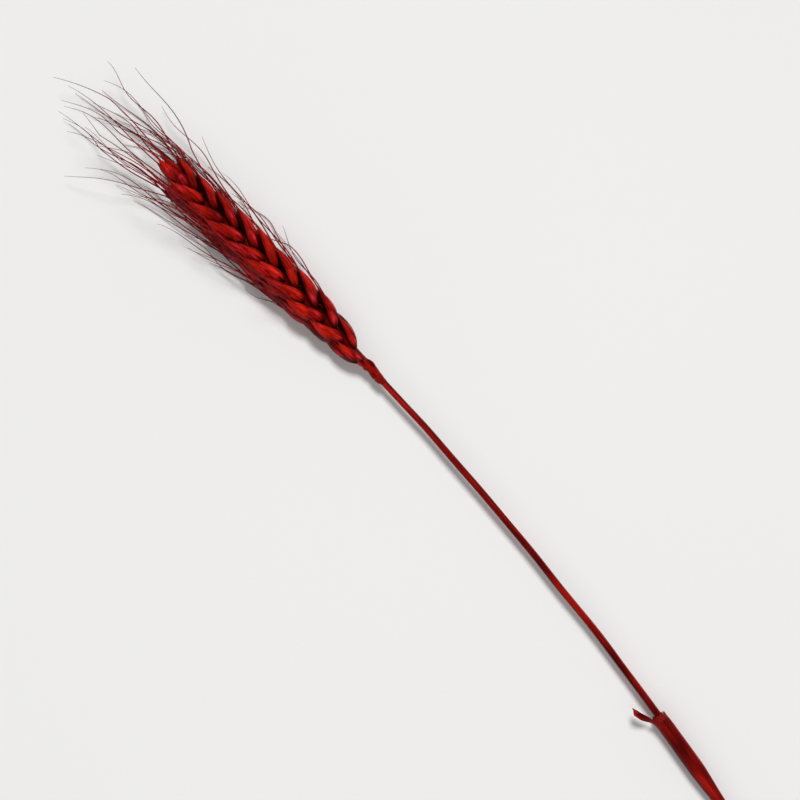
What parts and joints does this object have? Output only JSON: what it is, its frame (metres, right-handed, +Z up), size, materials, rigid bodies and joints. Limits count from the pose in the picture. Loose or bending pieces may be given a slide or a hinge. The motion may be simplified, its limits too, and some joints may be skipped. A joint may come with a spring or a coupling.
{
  "type": "dried wheat ear on straw",
  "caption": "Dried, dyed-red bearded wheat ear lying on its long cut straw, with two leaf sheaths; a loose stem for dried bunches and wreaths.",
  "frame": {"origin": "centre of the object's box, on the surface it lies on", "axes": "the ear points to -X, the cut end of the straw to +X, +Z is up from the surface"},
  "size_m": [0.5989, 0.041, 0.017],
  "materials": {
    "red_husk": "dry husk, dyed red, soft sheen on the backs of the scales",
    "red_straw": "smooth waxy straw, dyed red",
    "red_sheath": "dry papery leaf, dyed dark red, finely ribbed"
  },
  "bodies": {
    "root": {"ear": "red_husk", "straw": "red_straw", "flag_leaf_sheath": "red_sheath", "lower_leaf_sheath": "red_sheath"}
  },
  "joints": []
}
